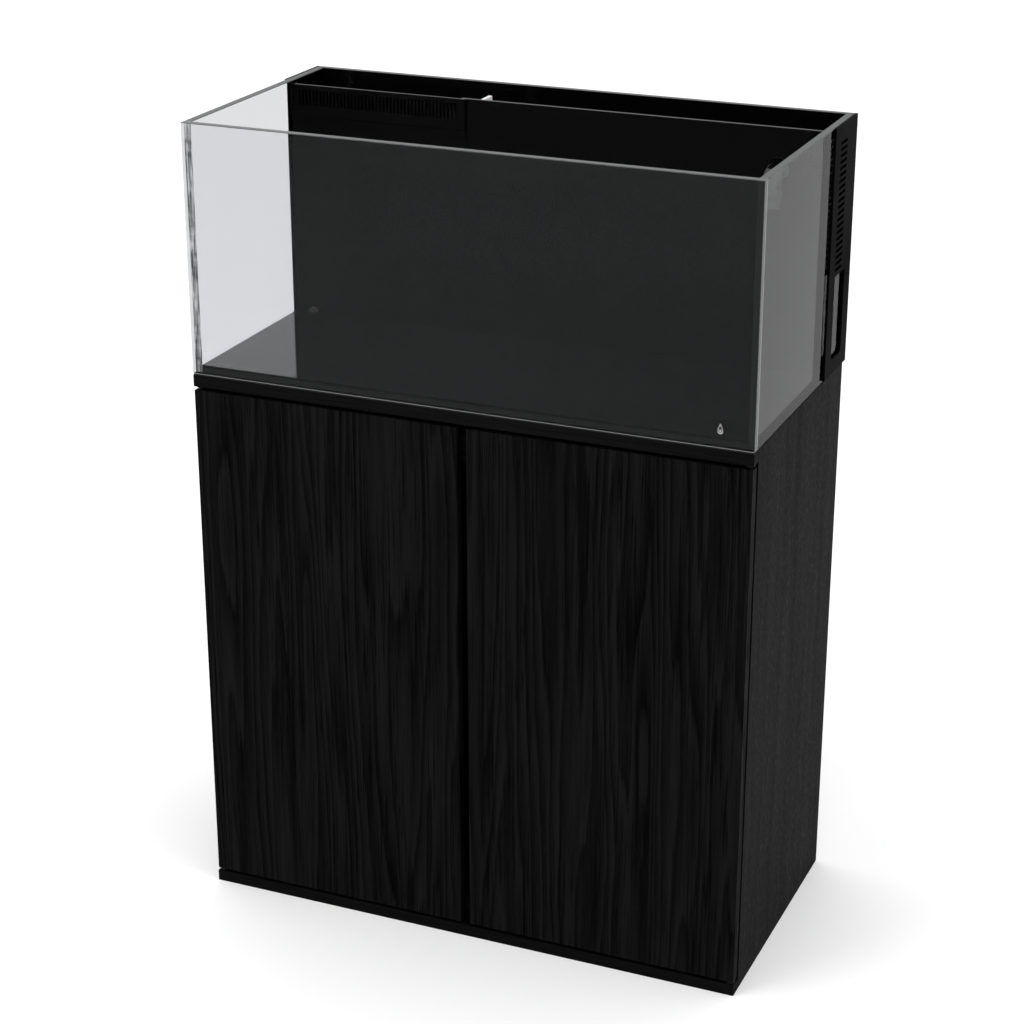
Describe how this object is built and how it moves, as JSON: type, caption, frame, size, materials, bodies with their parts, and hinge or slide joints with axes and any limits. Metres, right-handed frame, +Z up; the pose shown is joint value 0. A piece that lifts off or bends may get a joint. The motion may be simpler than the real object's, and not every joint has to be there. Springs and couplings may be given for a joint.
{
  "type": "aquarium on stand",
  "caption": "Rimless glass aquarium with a black rear filter chamber, on a black woodgrain cabinet stand whose two doors open by a central finger gap.",
  "frame": {"origin": "centre of the footprint on the floor", "axes": "+Z up, the doors and front pane face -Y, +X to the right seen from the front"},
  "size_m": [0.9224, 0.4572, 1.3],
  "materials": {
    "laminate": "black woodgrain laminate, satin",
    "clear_glass": "polished low-iron",
    "black_panel": "polished black",
    "black_cover": "satin black",
    "light_panel": "polished pale grey",
    "black_fitting": "moulded, satin",
    "grey_fitting": "moulded, satin",
    "steel": "brushed",
    "zinc": "zinc plated",
    "bumper_rubber": "matt",
    "mat_rubber": "closed-cell foam",
    "hose_rubber": "satin",
    "felt": "needle felt",
    "foam": "open-cell foam"
  },
  "bodies": {
    "root": {"side_panel_left": "laminate", "side_panel_right": "laminate", "top_board": "laminate", "bottom_board": "laminate", "back_panel": "laminate", "upper_stretcher": "laminate", "lower_sill": "laminate", "rear_stretcher": "laminate", "top_rail": "laminate", "bottom_rail": "laminate", "cable_grommets": "black_fitting", "cam_locks": "zinc", "cam_bolts": "steel", "pivot_bushes": "black_fitting", "catch_magnets": "zinc", "door_bumpers": "bumper_rubber", "levelling_mat": "mat_rubber", "tank_floor": "black_panel", "front_pane": "clear_glass", "left_pane": "clear_glass", "right_pane": "clear_glass", "back_wall": "black_panel", "partition": "black_panel", "overflow_divider": "light_panel", "baffle": "black_panel", "pump_divider": "black_panel", "comb_guides": "black_panel", "side_cover_left": "black_cover", "side_cover_right": "black_cover", "sock_shelf": "black_panel", "pump_body": "black_fitting", "pump_strainer": "black_fitting", "pump_feet": "bumper_rubber", "pump_gland": "black_fitting", "return_hose": "hose_rubber", "hose_clamps": "steel", "bulkhead": "black_fitting", "bulkhead_gasket": "bumper_rubber", "bulkhead_nut": "black_fitting", "drain_grille": "grey_fitting"},
    "door_left": {"door_left": "laminate", "pivot_pins_left": "steel", "strike_plates_left": "steel"},
    "door_right": {"door_right": "laminate", "pivot_pins_right": "steel", "strike_plates_right": "steel"},
    "weir_comb": {"weir_comb": "black_panel"},
    "filter_sock": {"sock_ring": "grey_fitting", "filter_sock": "felt"},
    "media_basket": {"media_basket": "black_fitting", "media_foam": "foam"},
    "return_elbow": {"return_elbow": "black_fitting"},
    "return_nozzle": {"return_nozzle": "grey_fitting"}
  },
  "joints": [
    {"name": "door_left_hinge", "type": "hinge", "parent": "root", "child": "door_left", "pos_m": [-0.4492, -0.2191, 0.45], "axis": [0, 0, -1], "range_deg": [0, 110]},
    {"name": "door_right_hinge", "type": "hinge", "parent": "root", "child": "door_right", "pos_m": [0.4492, -0.2191, 0.45], "axis": [0, 0, 1], "range_deg": [0, 110]},
    {"name": "weir_lift", "type": "slide", "parent": "root", "child": "weir_comb", "axis": [0, 0, 1], "range_m": [0, 0.07]},
    {"name": "sock_lift", "type": "slide", "parent": "root", "child": "filter_sock", "axis": [0, 0, 1], "range_m": [0, 0.27]},
    {"name": "basket_lift", "type": "slide", "parent": "root", "child": "media_basket", "axis": [0, 0, 1], "range_m": [0, 0.39]},
    {"name": "elbow_swivel", "type": "hinge", "parent": "root", "child": "return_elbow", "pos_m": [0.3748, 0.1, 1.234], "axis": [0, -1, 0], "range_deg": [-75, 75]},
    {"name": "nozzle_tilt", "type": "hinge", "parent": "return_elbow", "child": "return_nozzle", "pos_m": [0.3748, 0.0664, 1.204], "axis": [1, 0, 0], "range_deg": [-20, 20]}
  ]
}
